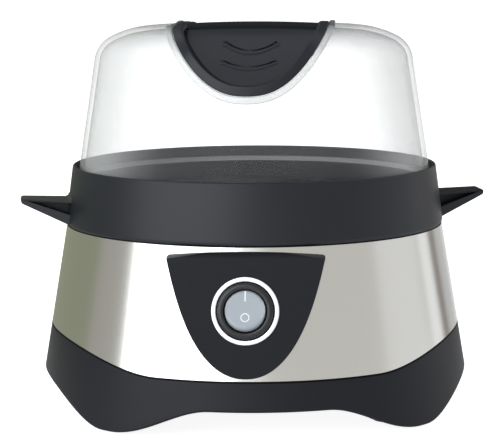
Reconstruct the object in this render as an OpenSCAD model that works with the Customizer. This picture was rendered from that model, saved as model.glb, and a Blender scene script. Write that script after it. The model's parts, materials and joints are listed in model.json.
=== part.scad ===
// Electric egg cooker: a conical steel body on a black base, a lift-out rack and a clear lid.
// Millimetres, +Z up, front towards -Y, origin on the table under the middle of the body.

/* [Body] */
// Radius of the body's cone where it meets the table
foot_r = 94.2; // [92:0.1:97]
// Radius of the body's cone at the top of the steel sleeve
sleeve_top_r = 81.2; // [80:0.1:83]
// Height of the top of the steel sleeve
sleeve_top = 77.2; // [75:0.1:80]
// Sheet thickness of the steel sleeve
sleeve_t = 0.8; // [0.5:0.1:1.2]
// Gap between fixed pieces that fit into each other
fit_gap = 0.15; // [0.05:0.05:0.3]

/* [Base] */
// Turn of the base under the sleeve, seen from above
base_turn = 6; // [-10:0.5:10]
// Wall of the base skirt
skirt_t = 2.4; // [1.8:0.1:3.5]
// Height of the seam between sleeve and skirt at the front and rear
seam_front = 24.8; // [22:0.1:26]
// Height of that seam at the sides
seam_side = 36.5; // [30:0.1:40]
// Distance from the middle at which the seam starts to rise
seam_flat_x = 45; // [20:1:50]
// Height of the lip that stands behind the sleeve's lower edge
lip_h = 6; // [3:0.5:10]
// Wall of that lip
lip_t = 1.6; // [1:0.1:2.5]
// Height of the skirt's lower edge in the front and rear arches
arch_front = 12.8; // [8:0.1:14]
// Height of the skirt's lower edge at the sides
arch_side = 15.4; // [8:0.1:16.5]
// Half width of the level part of the front arch
arch_half_w = 24; // [10:1:34]
// Distance from the middle to the lowest part of a foot lobe
lobe_x = 65.5; // [58:0.5:70]
// Height of the foot lobes above the table
lobe_lift = 1; // [0.5:0.1:2]
// Height of the underside of the base's floor
floor_z = 17; // [17:0.5:20]
// Thickness of the base's floor
floor_t = 2.5; // [2:0.1:4]
// Radius of the opening in the base's floor
floor_hole_r = 56; // [48:1:57]

/* [Feet and cover] */
// Distance of the feet from the middle, sideways
foot_x = 53; // [52:0.5:56]
// Distance of the feet from the middle, front to rear
foot_y = 51.5; // [51:0.5:56]
// Radius of the foot columns
column_r = 9; // [8:0.5:10]
// Radius of a rubber foot pad
pad_r = 7; // [5:0.5:7.5]
// Height of a rubber foot pad
pad_h = 2.4; // [2:0.1:3]
// Radius of the bottom cover
cover_r = 64; // [61:0.5:64]
// Thickness of the bottom cover
cover_t = 2.5; // [2:0.1:3]
// Distance of the cover's screws from the middle
cover_screw_at = 60; // [59:0.1:60.5]
// Shank radius of the screws
screw_r = 1.45; // [1.2:0.05:1.6]
// Length of a screw's shank
screw_len = 12; // [8:0.5:16]

/* [Control panel and switch] */
// Height of the switch's middle
switch_z = 52.5; // [50:0.1:54]
// Half width of the panel at its top
panel_half_w = 31.8; // [28:0.1:34]
// Reach of the panel above the switch's middle
panel_up = 23.5; // [21:0.1:24]
// Reach of the panel below the switch's middle
panel_down = 26.9; // [24:0.1:28]
// Height of the panel's face in front of the sleeve
panel_proud = 1.8; // [1.2:0.1:3]
// Drop of the panel's top edge from the middle to the corners
panel_arch = 1; // [0.5:0.1:2]
// Outer radius of the bright trim ring
ring_r = 13.5; // [12.8:0.1:15]
// Radius of the switch's bezel
bezel_r = 11.5; // [11.3:0.1:11.8]
// Radius of the switch's body behind the panel
housing_r = 10; // [9.8:0.1:10.4]
// Length of the switch's body behind the panel's face
housing_len = 21; // [16:0.5:24]
// Radius of the rocker's ball-shaped side
rocker_r = 8.3; // [7.6:0.1:8.6]
// Tilt of the rocker to either side
rocker_tilt = 11; // [8:0.5:12]
// Radius of the rocker's pivot pins
pin_r = 1.15; // [0.9:0.05:1.3]
// Running clearance of the pivot pins
pin_gap = 0.05; // [0.02:0.01:0.1]

/* [Bowl and heater] */
// Height of the bowl's floor
bowl_floor = 61.5; // [59:0.5:63]
// Radius of the bowl's floor
bowl_r = 51; // [46:0.5:54]
// Sheet thickness of the bowl
bowl_t = 1.5; // [1:0.1:2]
// Radius of the heating element's ring
heater_ring_r = 42; // [36:0.5:44]
// Radius of the heating element's tube
heater_tube_r = 3.3; // [2.5:0.1:4]

/* [Rack] */
// Turn of the rack on the body, seen from above
rack_turn = 10.5; // [-45:0.5:45]
// Height of the rack's rim
rack_top = 102.6; // [101:0.1:105]
// Radius of the rack's rim
rack_top_r = 78.4; // [78:0.1:80]
// Distance by which the rack's band stands out over the top of the sleeve
band_out = 0.3; // [0.1:0.1:2]
// Wall of the rack's rim round the lid
rim_t = 1.6; // [1.5:0.1:2.5]
// Wall of the rack's band
band_t = 2.7; // [2.2:0.1:3]
// Height of the seat plate's upper face
plate_z = 88.4; // [86:0.1:90]
// Thickness of the seat plate
plate_t = 2.5; // [2:0.1:3.5]
// Distance of the outer seats from the middle
seat_pitch = 46.5; // [45:0.5:48]
// Radius of the hole in a seat
seat_r = 17; // [14:0.5:18]
// Reach of the ears from the middle
ear_reach = 101.3; // [96:0.1:106]
// Width of an ear at its root
ear_root_w = 21; // [16:0.5:30]
// Width of an ear at its tip
ear_tip_w = 14; // [10:0.5:20]
// Height of an ear's upper face
ear_top = 90.2; // [88:0.1:94]
// Radius of an ear's rounded tip
ear_tip_r = 1.9; // [1.2:0.1:2.4]
// Slope of an ear's underside, in degrees
ear_slope = 25; // [20:0.5:30]

/* [Lid] */
// Height of the lid's lower edge
lid_foot = 96.3; // [95:0.1:98]
// Distance by which the lid's wall leans in up to its shoulder
lid_draw = 8; // [5:0.1:10]
// Height at which the lid's shoulder starts
lid_wall_top = 148.2; // [145:0.1:152]
// Radius of the shoulder's curve
shoulder_r = 12.5; // [10:0.1:15]
// Radius of the curve between shoulder and roof
roof_edge_r = 40; // [30:0.5:50]
// Wall of the lid
lid_t = 2.2; // [1.5:0.1:3]
// Width of the raised clear lip round the handle
lip_w = 3; // [2:0.1:4]
// Height of that lip
lip_rise = 1.1; // [0.5:0.1:1.5]

/* [Lid handle] */
// Half width of the handle's shield at its top
handle_half_w = 32.8; // [30:0.1:36]
// Height of the tip of the handle's shield
handle_tip = 136.2; // [132:0.1:140]
// Width of the handle's border
border_w = 4.2; // [3.5:0.1:5.5]
// Height of the border above the lid
border_rise = 1; // [0.6:0.1:1.6]
// Overlap of the border on the lid
border_lap = 2; // [1:0.1:2.5]
// Half depth of the bar between the two finger scoops
bar_half = 13; // [10:0.5:16]
// Thickness of the scoops
scoop_t = 2; // [1.5:0.1:3]
// Height of the grip ribs
rib_h = 0.9; // [0.4:0.1:1.5]
// Width of the grip ribs
rib_w = 1.6; // [1:0.1:2.5]
// Half length of the grip ribs
rib_half_len = 12; // [8:0.5:15]

/* [Hidden] */
$fn = 128;

// Colours as photographed
black = "#2e2f34";
steel = "#c4c4c0";
bright = "#e4e4e8";
grey = "#aab2b8";
rubber = "#1c1c1e";
brass = "#b99b52";
clear = "#dfe7ea80";
cream = "#e6e0d0";

// Sizes that follow from the driving dimensions
eps = 0.01;
far = 260;
taper = atan((foot_r - sleeve_top_r) / sleeve_top);
outline_steps = 16;
wave_step = 4;
shield_power = 2.4;
move_gap = 0.3;
touch = 0.1;

// Base
seam_full_x = foot_r;
lobe_half = 1.5;
floor_top = floor_z + floor_t;
feet = [[foot_x, foot_y], [-foot_x, foot_y], [-foot_x, -foot_y], [foot_x, -foot_y]];
column_bore_r = 4;
head_r = 3.2;
head_h = 1.6;
boss_r = 3.6;
leg_r = 4;

// Cord gland
gland_r = 4.2;
gland_flange_r = 5.2;
gland_bore_r = 3;
gland_z = (arch_front + seam_front) / 2;
gland_seat_y = body_r(gland_z) - 1;
gland_flange_t = 2.5;
gland_len = 9;
notch_y = cover_r + 4;

// Collar and bowl
collar_h = 9.4;
collar_bottom = sleeve_top - collar_h;
collar_wall = 2.4;
collar_top_w = 4.25;
collar_inner_r = inside_r(sleeve_top) - collar_top_w;
ledge_z = sleeve_top - 4;
ledge_t = 2.5;

// Rack, whose spigot stands in the collar and whose rim holds the lid
rack_bottom = sleeve_top + move_gap;
rack_low_r = sleeve_top_r + band_out;
spigot_r = collar_inner_r - 2 * move_gap;
spigot_t = 2.2;
spigot_in_r = spigot_r - spigot_t;
spigot_depth = 3.2;
ledge_top = lid_foot - move_gap;
ledge_w = 3.9;
ledge_web = 2.6;
band_chamfer = 1.9;
rim_round = 1.2;
rim_ease = 0.7;
rim_draw = 0.3;
seat_w = 1.5;
plate_under = plate_z - plate_t;
plate_lap = 3;
plate_ledge_t = 1.6;
rim_in_r = rack_top_r - rim_t;
well_r = rim_in_r - ledge_w;
lid_foot_r = rim_in_r - 1.4 * move_gap;
lid_wall_r = lid_foot_r - lid_draw;
ear_root = rack_top_r - band_t;
ear_plate_t = 2;
ear_flange_t = 2;
ear_web_t = 3;
ear_corner_r = 4;
hollow_end = ear_reach - 3 * ear_tip_r;
hollow_nose = 0.5;
seat_flare = 2;

// Bowl, whose rim lies on the collar's ledge
bowl_play = 0.8;
bowl_rim_w = 8.4;
bowl_rim_r = spigot_in_r - bowl_play;
ledge_r = bowl_rim_r - bowl_rim_w;
bowl_under = bowl_floor - bowl_t;
bowl_rim_top = ledge_z + bowl_t;

// Switch
ring_w = 1.8;
ring_sunk = 0.5;
ring_rise = 0.7;
bezel_h = 2;
pivot_sunk = 0.7;
rocker_pivot = panel_proud - pivot_sunk;
rocker_face = 3.4;
rocker_below = 5;
rocker_bore_r = rocker_r + move_gap;
pin_reach = housing_r - 2 * move_gap;
blade_len = 8;
blade_w = 4.8;
blade_t = 0.8;
blade_x = 4;
plug_half_w = 22;
plug_up = 12;
plug_down = 22;
plug_depth = 6;
tail = housing_len - panel_proud;
panel_cut_x = panel_half_w / 3;
panel_cut_turn = 8;
panel_cut_lean = 14;

// Heater and wiring
heater_gap = 20;
heater_pin_at = heater_gap + 3;
heater_z = bowl_under - heater_tube_r - fit_gap / 3;
heater_pin_len = 8;
heater_pin_r = 1.5;
thermo_r = 8;
thermo_h = 7;
thermo_z = bowl_under - thermo_h;
stud_x = 16;
stud_r = 2;
stud_len = 15;
strap_t = 1.5;
strap_w = 9;
nut_r = 4;
nut_h = 3;
fuse_r = 2;
fuse_half = 8;
fuse_y = 26;
block_size = [24, 14, 12];
block_y = 40;
lead_r = 1.1;
lead_x = 12;
lead_y = 36;
lead_rise = 8;
stub = 3;
cover_top = floor_z;
block_top = cover_top + block_size[2];

// Lid outline: where its wall leans by an angle, and what follows from that
lean_wall = atan((lid_foot_r - lid_wall_r) / (lid_wall_top - lid_foot));
lean_shoulder = 62;
lean_edge = 88;
arc_steps = 8;
shoulder_mid = [lid_wall_r, lid_wall_top] - shoulder_r * lean(lean_wall);
edge_mid = shoulder_mid + (shoulder_r - roof_edge_r) * lean(lean_shoulder);
roof_start = edge_mid + roof_edge_r * lean(lean_edge);
roof_r = roof_start[0] / cos(lean_edge);
roof_mid = [0, roof_start[1] - roof_r * sin(lean_edge)];
lid_apex = roof_mid[1] + roof_r;

// Handle
handle_top = lid_apex + border_rise;
bar_rise = 0.4;
bar_t = 3;
scoop_sunk = 0.6;
scoop_drop = 11.4;
scoop_start = [-bar_half - 0.5, lid_apex - scoop_sunk];
scoop_pull = [scoop_start[0] - 3.5, lid_apex - scoop_drop];
scoop_end = [-lid_wall_r - 3, handle_tip + 3];
scoop_out = [-0.6, 0.8];
upper_rib = [lid_apex - 11, 21.3];
lower_rib = [lid_apex - 17.3, 29];

// Unit normal, in radius and height, of a wall that leans by an angle from upright
function lean(a) = [cos(a), sin(a)];

// Radius of the body's cone at a height
function body_r(z) = foot_r - (foot_r - sleeve_top_r) * z / sleeve_top;

// Inner radius of the steel sleeve at a height, less the fit
function inside_r(z) = body_r(z) - sleeve_t - fit_gap;

// Radius of the rack's band at a height
function band_r(z) =
    rack_low_r - (rack_low_r - rack_top_r) * (z - rack_bottom - band_chamfer)
        / (rack_top - rack_bottom - band_chamfer);

// Inner radius of the rack's well at a height
function well_in(z) = spigot_in_r + (well_r - spigot_in_r) * (z - rack_bottom) / (ledge_top - rack_bottom);

// Smooth step from 0 to 1
function ease(t) = let (u = min(max(t, 0), 1)) u * u * (3 - 2 * u);

// Height of the seam between sleeve and skirt, by the distance from the middle
function seam_z(x) =
    seam_front + (seam_side - seam_front) * ease((abs(x) - seam_flat_x) / (seam_full_x - seam_flat_x));

// Height of the skirt's lower edge, by the distance from the middle
function edge_z(x) =
    lobe_lift
    + (arch_front - lobe_lift) * ease((lobe_x - lobe_half - abs(x)) / (lobe_x - lobe_half - arch_half_w))
    + (arch_side - lobe_lift) * ease((abs(x) - lobe_x - lobe_half) / (foot_r - lobe_x - lobe_half));

// Points of an arc in a plane, from the first or a later one
function arc(mid, r, from, to, n, first = 0) =
    [for (i = [first : n]) let (a = from + (to - from) * i / n) mid + r * [cos(a), sin(a)]];

// Half section of the lid's surface, from its lower edge to the axis, moved out by a distance
function lid_line(out) = concat(
    [[lid_foot_r + out / cos(lean_wall), lid_foot]],
    arc(shoulder_mid, shoulder_r + out, lean_wall, lean_shoulder, arc_steps),
    arc(edge_mid, roof_edge_r + out, lean_shoulder, lean_edge, arc_steps, 1),
    arc(roof_mid, roof_r + out, lean_edge, 90, arc_steps / 2, 1)
);

// Points of a list from its end to its start
function back(list) = [for (i = [len(list) - 1 : -1 : 0]) list[i]];

// Curve of a finger scoop in the side view, moved by a distance towards the fingers
function scoop_line(out) = [
    for (i = [0 : 2 * arc_steps])
        let (t = i / (2 * arc_steps))
        (1 - t) * (1 - t) * scoop_start + 2 * t * (1 - t) * scoop_pull + t * t * scoop_end + out * scoop_out
];

// Point in the panel's frame, whose height runs out of the face, given in the part's frame
function at_front(p) = [
    p[0],
    -body_r(switch_z) + p[1] * sin(taper) - p[2] * cos(taper),
    switch_z + p[1] * cos(taper) + p[2] * sin(taper)
];

// Places children in the panel's frame: x to the right, y up the slope, z out of the face
module on_front() {
    translate([0, -body_r(switch_z), switch_z]) rotate([90 - taper, 0, 0]) children();
}

// Places children in the base's frame, which is turned under the sleeve
module on_base() {
    rotate(base_turn) children();
}

// Runs an outline, drawn in x and z, through the whole object from front to rear
module along_y() {
    rotate([90, 0, 0]) linear_extrude(height = far, center = true) children();
}

// Runs an outline, drawn in y and z, sideways
module along_x(width) {
    rotate([90, 0, 90]) linear_extrude(height = width, center = true) children();
}

// Solid cone of the body, grown by a distance
module body_cone(grow, from, to) {
    translate([0, 0, from]) cylinder(r1 = body_r(from) + grow, r2 = body_r(to) + grow, h = to - from);
}

// Conical ring that follows the body, between two distances from its surface
module body_ring(outer, inner, from, to) {
    difference() {
        body_cone(outer, from, to);
        body_cone(inner, from - 1, to + 1);
    }
}

// Shield: level top, sides that curve in to a rounded tip
module shield(half_w, tip, top, over) {
    polygon(concat(
        [for (i = [-outline_steps : outline_steps])
            let (s = i / outline_steps)
            [half_w * s, tip + (top - tip) * pow(abs(s), shield_power)]],
        [[half_w, top + over], [-half_w, top + over]]
    ));
}

// Region under a wave, seen from the front
module below_seam(rise) {
    polygon(concat(
        [for (x = [-far / 2 : wave_step : far / 2]) [x, seam_z(x) + rise]],
        [[far / 2, -1], [-far / 2, -1]]
    ));
}

// Region under the skirt's lower edge, seen from the front
module below_edge() {
    polygon(concat(
        [for (x = [-far / 2 : wave_step : far / 2]) [x, edge_z(x)]],
        [[far / 2, -1], [-far / 2, -1]]
    ));
}

// Screw that points up, with the underside of its head at zero
module screw() {
    translate([0, 0, -head_h]) cylinder(r = head_r, h = head_h);
    cylinder(r = screw_r, h = screw_len);
}

// Places children at each foot
module at_feet() {
    on_base() for (p = feet) translate([p[0], p[1], 0]) children();
}

// Places children at each screw of the bottom cover
module at_cover_screws() {
    on_base() for (a = [45 : 90 : 315]) rotate(a) translate([cover_screw_at, 0, 0]) children();
}

// Steel sleeve of the body
module body_shell() {
    color(steel)
    difference() {
        body_ring(0, -sleeve_t, seam_front - 1, sleeve_top);
        on_base() along_y() below_seam(fit_gap);
        on_front() translate([0, 0, -far / 10])
            linear_extrude(height = far / 8) plug_outline(fit_gap);
    }
}

// Outline of the panel's plug, which sits in the sleeve's cut-out
module plug_outline(grow) {
    shield(plug_half_w + grow, -plug_down - grow, plug_up + grow, 0);
}

// Black base with its wavy edges, floor, foot columns and screw bosses
module base_skirt() {
    color(black)
    difference() {
        union() {
            intersection() {
                body_ring(0, -skirt_t, 0, seam_side + 1);
                on_base() along_y() difference() {
                    below_seam(0);
                    below_edge();
                }
            }
            intersection() {
                body_ring(-sleeve_t - fit_gap, -sleeve_t - fit_gap - lip_t, floor_z, seam_side + lip_h + 1);
                on_base() along_y() below_seam(lip_h);
            }
            intersection() {
                translate([0, 0, floor_z]) cylinder(r = foot_r, h = floor_t);
                body_cone(-skirt_t / 2, 0, seam_front);
            }
            at_feet() translate([0, 0, lobe_lift]) cylinder(r = column_r, h = floor_z - lobe_lift + eps);
            at_cover_screws() translate([0, 0, floor_z]) cylinder(r = boss_r, h = screw_len);
        }
        translate([0, 0, floor_z - 1]) cylinder(r = floor_hole_r, h = far);
        at_feet() {
            cylinder(r = column_bore_r, h = floor_z);
            cylinder(r = pad_r + fit_gap, h = pad_h + fit_gap);
            cylinder(r = screw_r + fit_gap, h = far);
        }
        at_cover_screws() translate([0, 0, floor_z - 1]) cylinder(r = screw_r + fit_gap / 2, h = far);
        on_base() gland_cut();
    }
}

// Room for the cord gland in the skirt's rear wall and floor
module gland_cut() {
    translate([0, 0, gland_z]) rotate([-90, 0, 0]) {
        translate([0, 0, notch_y]) cylinder(r = gland_r + fit_gap, h = far);
        translate([0, 0, gland_seat_y]) cylinder(r = gland_flange_r + fit_gap, h = far);
    }
    translate([-gland_flange_r, notch_y, floor_z - 1])
        cube([2 * gland_flange_r, gland_seat_y - skirt_t - notch_y, floor_t + 2]);
}

// Flanged bush in the rear wall that guides the mains cord
module cord_gland() {
    color(rubber)
    on_base() translate([0, gland_seat_y, gland_z]) rotate([-90, 0, 0])
    difference() {
        union() {
            cylinder(r = gland_flange_r, h = gland_flange_t);
            translate([0, 0, gland_flange_t - gland_len]) cylinder(r = gland_r, h = gland_len);
        }
        translate([0, 0, -far / 2]) cylinder(r = gland_bore_r, h = far);
    }
}

// Plate that closes the base from below
module bottom_cover() {
    color(black)
    difference() {
        translate([0, 0, floor_z - cover_t]) cylinder(r = cover_r, h = cover_t);
        at_cover_screws() {
            cylinder(r = screw_r + fit_gap, h = far);
            cylinder(r = head_r + fit_gap, h = floor_z - cover_t + head_h);
        }
    }
}

// Screws of the bottom cover
module cover_screws() {
    color(steel)
    at_cover_screws() translate([0, 0, floor_z - cover_t + head_h]) screw();
}

// Screws through the foot columns into the collar's legs
module foot_screws() {
    color(steel)
    at_feet() translate([0, 0, floor_z]) screw();
}

// Rubber pads under the foot lobes
module foot_pads() {
    color(rubber)
    at_feet() cylinder(r = pad_r, h = pad_h);
}

// Ring inside the sleeve's top that carries the bowl and the rack, on four legs
module top_collar() {
    color(black)
    difference() {
        union() {
            rotate_extrude() polygon([
                [inside_r(collar_bottom) - collar_wall, collar_bottom],
                [inside_r(collar_bottom), collar_bottom],
                [inside_r(sleeve_top), sleeve_top],
                [collar_inner_r, sleeve_top],
                [collar_inner_r, ledge_z],
                [ledge_r, ledge_z],
                [ledge_r, ledge_z - ledge_t],
                [inside_r(collar_bottom) - collar_wall, ledge_z - ledge_t]
            ]);
            at_feet() translate([0, 0, floor_top]) cylinder(r = leg_r, h = ledge_z - floor_top - eps);
        }
        at_feet() translate([0, 0, floor_top - 1]) cylinder(r = screw_r + fit_gap / 2, h = screw_len);
    }
}

// Outline of the panel's face, with its arched top
module panel_outline() {
    polygon(concat(
        [for (i = [-outline_steps : outline_steps])
            let (s = i / outline_steps)
            [panel_half_w * s,
                -panel_down + (panel_up - panel_arch + panel_down) * pow(abs(s), shield_power)]],
        [for (i = [outline_steps - 2 : -2 : -outline_steps + 2])
            let (s = i / outline_steps)
            [panel_half_w * s, panel_up - panel_arch * s * s]]
    ));
}

// Cuts the panel's top back towards the corners, so that its front edge is a bow
module panel_top_cut() {
    for (s = [-1, 1])
        translate([s * panel_cut_x, panel_up, panel_proud])
            rotate([0, 0, -s * panel_cut_turn]) rotate([panel_cut_lean, 0, 0])
            translate([-panel_half_w, 0, -far / 10]) cube([2 * panel_half_w, far / 10, far / 5]);
}

// Shield-shaped panel on the front of the sleeve
module control_panel() {
    color(black)
    difference() {
        union() {
            difference() {
                on_front() translate([0, 0, -far / 20]) linear_extrude(height = far / 20 + panel_proud)
                    panel_outline();
                body_cone(fit_gap, 0, sleeve_top + far / 10);
            }
            on_front() translate([0, 0, -plug_depth]) linear_extrude(height = plug_depth + panel_proud / 2)
                plug_outline(0);
        }
        on_front() {
            panel_top_cut();
            translate([0, 0, -far / 4]) cylinder(r = housing_r + fit_gap, h = far);
            translate([0, 0, panel_proud - ring_sunk]) difference() {
                cylinder(r = ring_r + fit_gap, h = far);
                translate([0, 0, -1]) cylinder(r = ring_r - ring_w - fit_gap, h = far);
            }
        }
    }
}

// Bright trim ring round the switch
module switch_ring() {
    color(bright)
    on_front() translate([0, 0, panel_proud - ring_sunk]) difference() {
        cylinder(r = ring_r, h = ring_sunk + ring_rise);
        translate([0, 0, -1]) cylinder(r = ring_r - ring_w, h = far);
    }
}

// Switch body with its bezel and the bores for the rocker's pins
module switch_housing() {
    color(black)
    on_front() difference() {
        union() {
            translate([0, 0, panel_proud - housing_len]) cylinder(r = housing_r, h = housing_len + eps);
            translate([0, 0, panel_proud])
                cylinder(r1 = bezel_r, r2 = bezel_r - bezel_h / 3, h = bezel_h);
        }
        translate([0, 0, rocker_pivot - rocker_bore_r]) cylinder(r = rocker_bore_r, h = far);
        translate([0, 0, rocker_pivot]) rotate([0, 90, 0])
            cylinder(r = pin_r + pin_gap, h = 2 * (pin_reach + move_gap), center = true);
    }
}

// Blade terminals on the back of the switch
module switch_terminals() {
    color(brass)
    on_front() for (s = [-1, 1])
        translate([s * blade_x - blade_t / 2, -blade_w / 2, -tail - blade_len])
            cube([blade_t, blade_w, blade_len]);
}

// Round rocker, pressed in at the top, with a pivot pin at each side
module rocker() {
    color(grey)
    on_front() translate([0, 0, rocker_pivot]) rotate([-rocker_tilt, 0, 0]) {
        intersection() {
            sphere(r = rocker_r);
            translate([0, 0, -rocker_below]) cylinder(r = 2 * rocker_r, h = rocker_below + rocker_face);
        }
        rotate([0, 90, 0]) cylinder(r = pin_r, h = 2 * pin_reach, center = true);
    }
}

// Dish that holds the water, with the studs for the thermostat's strap
module water_bowl() {
    color(steel)
    union() {
        rotate_extrude() polygon([
            [0, bowl_under],
            [bowl_r, bowl_under],
            [ledge_r - fit_gap, ledge_z],
            [bowl_rim_r, ledge_z],
            [bowl_rim_r, bowl_rim_top],
            [ledge_r - fit_gap - bowl_t, bowl_rim_top],
            [bowl_r - bowl_t, bowl_floor],
            [0, bowl_floor]
        ]);
        for (s = [-1, 1])
            translate([s * stud_x, 0, bowl_under - stud_len]) cylinder(r = stud_r, h = stud_len + eps);
    }
}

// Tubular heating element under the bowl, open at the rear, with a pin at each end
module heating_element() {
    color("#8c8a86")
    translate([0, 0, heater_z]) {
        rotate(90 + heater_gap) rotate_extrude(angle = 360 - 2 * heater_gap)
            translate([heater_ring_r, 0]) circle(r = heater_tube_r);
        for (s = [-1, 1])
            rotate(90 + s * heater_pin_at) translate([heater_ring_r, 0, -heater_pin_len])
                cylinder(r = heater_pin_r, h = heater_pin_len);
    }
}

// Snap-disc thermostat against the bowl's underside, with two blades
module thermostat() {
    color(cream)
    union() {
        translate([0, 0, thermo_z - fit_gap]) cylinder(r = thermo_r, h = thermo_h);
        for (s = [-1, 1])
            translate([s * blade_x - blade_t / 2, -blade_w / 2, thermo_z - blade_len])
                cube([blade_t, blade_w, blade_len]);
    }
}

// Strap that holds the thermostat up, on the bowl's studs
module thermostat_strap() {
    color(steel)
    translate([0, 0, thermo_z - fit_gap - strap_t]) difference() {
        union() {
            translate([-stud_x, -strap_w / 2, 0]) cube([2 * stud_x, strap_w, strap_t]);
            for (s = [-1, 1]) translate([s * stud_x, 0, 0]) cylinder(r = strap_w / 2, h = strap_t);
        }
        for (s = [-1, 1]) {
            translate([s * stud_x, 0, -1]) cylinder(r = stud_r + fit_gap, h = far);
            translate([s * blade_x - blade_t, -blade_w / 2 - fit_gap, -1])
                cube([2 * blade_t, blade_w + 2 * fit_gap, far]);
        }
    }
}

// Nuts under the thermostat's strap
module strap_nuts() {
    color(steel)
    for (s = [-1, 1])
        translate([s * stud_x, 0, thermo_z - fit_gap - strap_t - nut_h]) difference() {
            cylinder(r = nut_r, h = nut_h, $fn = 6);
            translate([0, 0, -1]) cylinder(r = stud_r + fit_gap / 2, h = far);
        }
}

// Thermal fuse that lies against the bowl's underside
module thermal_fuse() {
    color(cream)
    translate([0, fuse_y, bowl_under - fuse_r - fit_gap / 2]) rotate([0, 90, 0])
        cylinder(r = fuse_r, h = 2 * fuse_half, center = true);
}

// Block on the bottom cover where the mains cord and the leads meet
module terminal_block() {
    color(cream)
    translate([-block_size[0] / 2, block_y - block_size[1] / 2, cover_top]) cube(block_size);
}

// Insulated wire along a route, as one tube
module wire(route) {
    sides = 8;
    last = len(route) - 1;
    steps = [for (i = [0 : last - 1]) unit(route[i + 1] - route[i])];
    heading = [for (i = [0 : last])
        i == 0 ? steps[0] : i == last ? steps[last - 1] : unit(steps[i - 1] + steps[i])];
    across = [for (h = heading) unit(cross(h, [0.31, 0.17, 0.93]))];
    points = [for (i = [0 : last], k = [0 : sides - 1])
        let (a = 360 * k / sides)
        route[i] + lead_r * (across[i] * cos(a) + cross(across[i], heading[i]) * sin(a))];
    walls = [for (i = [0 : last - 1], k = [0 : sides - 1])
        let (a = i * sides + k, b = i * sides + (k + 1) % sides)
        each [[a, b, b + sides], [a, b + sides, a + sides]]];
    start = [for (k = [1 : sides - 2]) [0, k + 1, k]];
    finish = [for (k = [1 : sides - 2]) [last * sides, last * sides + k, last * sides + k + 1]];
    polyhedron(points = points, faces = concat(walls, start, finish));
}

// Vector of length one in a direction
function unit(v) = v / norm(v);

// Leads between the switch, the terminal block, the thermostat, the fuse and the heater
module inner_leads() {
    low = block_top + lead_rise;
    fuse_z = bowl_under - fuse_r - fit_gap / 2;
    color("#b8482e") {
        wire([switch_end(-1, touch), switch_end(-1, stub), [-lead_x, -lead_y, low], [-lead_x, 0, low],
            block_end(0.2, lead_rise), block_end(0.2, touch)]);
        wire([switch_end(1, touch), switch_end(1, stub), [lead_x, -lead_y, low], [lead_x, -lead_x, low],
            blade_end(1, stub), blade_end(1, touch)]);
        wire([blade_end(-1, touch), blade_end(-1, stub), [-lead_x, fuse_y - lead_rise, low + lead_rise],
            [-lead_x - stub, fuse_y - stub, fuse_z - stub], fuse_end(-1, stub), fuse_end(-1, touch)]);
        wire([fuse_end(1, touch), fuse_end(1, stub), [lead_x + stub, fuse_y + stub, fuse_z - lead_rise],
            heater_end(1, lead_rise / 2), heater_end(1, touch)]);
        wire([heater_end(-1, touch), heater_end(-1, lead_rise),
            block_end(0.4, lead_rise / 2), block_end(0.4, touch)]);
    }
}

// Places a little in front of the ends that the leads meet
function switch_end(side, out) = at_front([side * blade_x, 0, -tail - blade_len - out]);
function blade_end(side, out) = [side * blade_x, 0, thermo_z - blade_len - out];
function fuse_end(side, out) = [side * (fuse_half + out), fuse_y, bowl_under - fuse_r - fit_gap / 2];
function block_end(share, out) = [-share * block_size[0], block_y, block_top + out];
function heater_end(side, out) = [
    side * heater_ring_r * sin(heater_pin_at),
    heater_ring_r * cos(heater_pin_at),
    heater_z - heater_pin_len - out
];

// Half section of the rack's band, with the lid's ledge, the seat plate's ledge and the spigot
module rack_section() {
    web = ledge_top - ledge_web;
    polygon([
        [inside_r(sleeve_top) - seat_w, rack_bottom],
        [body_r(rack_bottom), rack_bottom],
        [rack_low_r, rack_bottom + band_chamfer],
        [band_r(rack_top - rim_round), rack_top - rim_round],
        [band_r(rack_top) - rim_ease, rack_top],
        [rim_in_r + rim_draw, rack_top],
        [rim_in_r, ledge_top],
        [well_r, ledge_top],
        [well_in(plate_under), plate_under],
        [well_in(plate_under) - plate_lap, plate_under],
        [well_in(plate_under) - plate_lap, plate_under - plate_ledge_t],
        [well_in(plate_under - plate_ledge_t - plate_lap), plate_under - plate_ledge_t - plate_lap],
        [spigot_in_r, rack_bottom],
        [spigot_in_r, rack_bottom - spigot_depth],
        [spigot_r, rack_bottom - spigot_depth],
        [spigot_r, rack_bottom],
        [well_r + spigot_t, web],
        [band_r(web) - band_t, web],
        [band_r(rack_bottom + band_chamfer) - band_t, rack_bottom + band_chamfer]
    ]);
}

// Side view of an ear, with its rounded tip and slanted underside
module ear_side() {
    tip = [ear_reach - ear_tip_r, ear_top - ear_tip_r];
    under = tip + ear_tip_r * [sin(ear_slope), -cos(ear_slope)];
    polygon(concat(
        [[ear_root, under[1] - (under[0] - ear_root) * tan(ear_slope)], [ear_root, ear_top]],
        arc(tip, ear_tip_r, 90, ear_slope - 90, arc_steps)
    ));
}

// Hollow in the side of an ear, between its top plate and its slanted flange
module ear_hollow() {
    drop = (ear_reach - ear_root) * tan(ear_slope);
    polygon([
        [ear_root, ear_top - ear_plate_t],
        [hollow_end, ear_top - ear_plate_t],
        [hollow_end - hollow_nose, ear_top - ear_plate_t - hollow_nose],
        [ear_root, ear_top - drop + ear_flange_t]
    ]);
}

// View of an ear from above
module ear_plan() {
    mid = [ear_reach - ear_corner_r, ear_tip_w / 2 - ear_corner_r];
    side = atan((ear_root_w - ear_tip_w) / 2 / (ear_reach - ear_root));
    polygon(concat(
        [[0, -mid[1] - ear_corner_r - ear_reach * tan(side)]],
        arc([mid[0], -mid[1]], ear_corner_r, side - 90, 0, arc_steps),
        arc(mid, ear_corner_r, 0, 90 - side, arc_steps),
        [[0, mid[1] + ear_corner_r + ear_reach * tan(side)]]
    ));
}

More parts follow.
